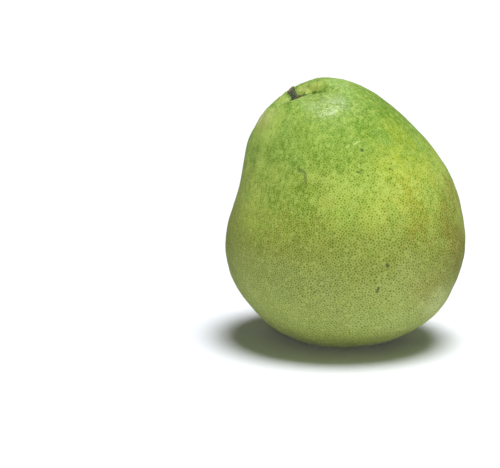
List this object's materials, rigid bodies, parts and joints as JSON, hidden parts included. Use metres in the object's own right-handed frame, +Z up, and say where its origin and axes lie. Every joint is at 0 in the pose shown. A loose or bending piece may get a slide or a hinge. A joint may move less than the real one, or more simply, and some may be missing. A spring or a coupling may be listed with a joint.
{
  "type": "pomelo",
  "caption": "Whole pomelo, as picked: a pear-shaped green citrus fruit with a cut woody stem in its calyx, resting on a small flat spot.",
  "frame": {"origin": "on the table, under the middle of the fruit's outline", "axes": "+Z up from the table; the stem end leans towards -X and a little towards -Y, the front"},
  "size_m": [0.1478, 0.1466, 0.1625],
  "materials": {
    "rind": "green citrus rind with fine oil glands, slightly waxy sheen",
    "calyx": "dry green-brown calyx, matte",
    "stem_wood": "grey-brown woody stem with a cut end, matte"
  },
  "bodies": {
    "root": {"fruit": "rind", "calyx": "calyx", "stem": "stem_wood"}
  },
  "joints": []
}
